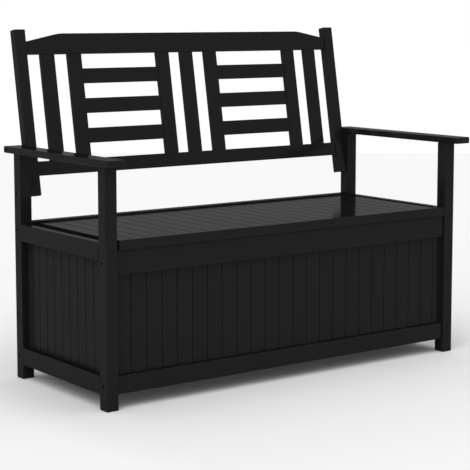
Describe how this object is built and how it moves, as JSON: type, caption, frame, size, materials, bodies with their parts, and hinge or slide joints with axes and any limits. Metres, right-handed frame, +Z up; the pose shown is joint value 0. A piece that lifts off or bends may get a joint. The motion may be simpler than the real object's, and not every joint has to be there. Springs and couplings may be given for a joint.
{
  "type": "garden storage bench",
  "caption": "Wooden garden bench with armrests, a slatted leaning back and a hinged boarded seat that is the lid of a panelled storage box.",
  "frame": {"origin": "middle of the bounding box at ground level", "axes": "+X to the right seen from the front, +Y from the front to the back, +Z up"},
  "size_m": [1.176, 0.5618, 0.9072],
  "materials": {
    "painted_wood": "satin black paint",
    "painted_wood_inside": "satin black paint, inner faces",
    "black_steel": "black coated steel",
    "zinc_steel": "zinc-plated wire"
  },
  "bodies": {
    "frame": {"armrest_left": "painted_wood", "armrest_right": "painted_wood", "back_cross_left_1": "painted_wood", "back_cross_left_2": "painted_wood", "back_cross_left_3": "painted_wood", "back_cross_right_1": "painted_wood", "back_cross_right_2": "painted_wood", "back_cross_right_3": "painted_wood", "back_rail_bottom": "painted_wood", "back_rail_top": "painted_wood", "back_stile_left": "painted_wood", "back_stile_right": "painted_wood", "back_upright_1": "painted_wood", "back_upright_2": "painted_wood", "back_upright_3": "painted_wood", "back_upright_4": "painted_wood", "back_upright_5": "painted_wood", "back_upright_6": "painted_wood", "back_upright_7": "painted_wood", "bolt_armrest_left": "black_steel", "bolt_armrest_right": "black_steel", "bolt_front_bottom_left": "black_steel", "bolt_front_bottom_right": "black_steel", "bolt_front_top_left": "black_steel", "bolt_front_top_right": "black_steel", "bolt_rear_bottom_left": "black_steel", "bolt_rear_bottom_right": "black_steel", "bolt_rear_top_left": "black_steel", "bolt_rear_top_right": "black_steel", "bolt_stile_left": "black_steel", "bolt_stile_right": "black_steel", "floor_cleat_front": "painted_wood_inside", "floor_cleat_rear": "painted_wood_inside", "floor_panel": "painted_wood_inside", "front_panel": "painted_wood", "front_rail_bottom": "painted_wood", "front_rail_top": "painted_wood", "hinge_leaf_fixed": "black_steel", "hinge_pin": "zinc_steel", "post_front_left": "painted_wood", "post_front_right": "painted_wood", "post_rear_left": "painted_wood", "post_rear_right": "painted_wood", "rear_panel": "painted_wood", "rear_rail_bottom": "painted_wood", "rear_rail_top": "painted_wood", "side_panel_left": "painted_wood", "side_panel_right": "painted_wood", "side_rail_bottom_left": "painted_wood", "side_rail_bottom_right": "painted_wood", "side_rail_top_left": "painted_wood", "side_rail_top_right": "painted_wood"},
    "lid": {"hinge_leaf_lid": "black_steel", "lid_batten_middle": "painted_wood_inside", "lid_batten_rear": "painted_wood_inside", "lid_boards": "painted_wood", "lid_rail_front": "painted_wood"}
  },
  "joints": [
    {"name": "lid_hinge", "type": "hinge", "parent": "frame", "child": "lid", "pos_m": [0, 0.18138, 0.41], "axis": [-1, 0, 0], "range_deg": [0, 91]}
  ]
}
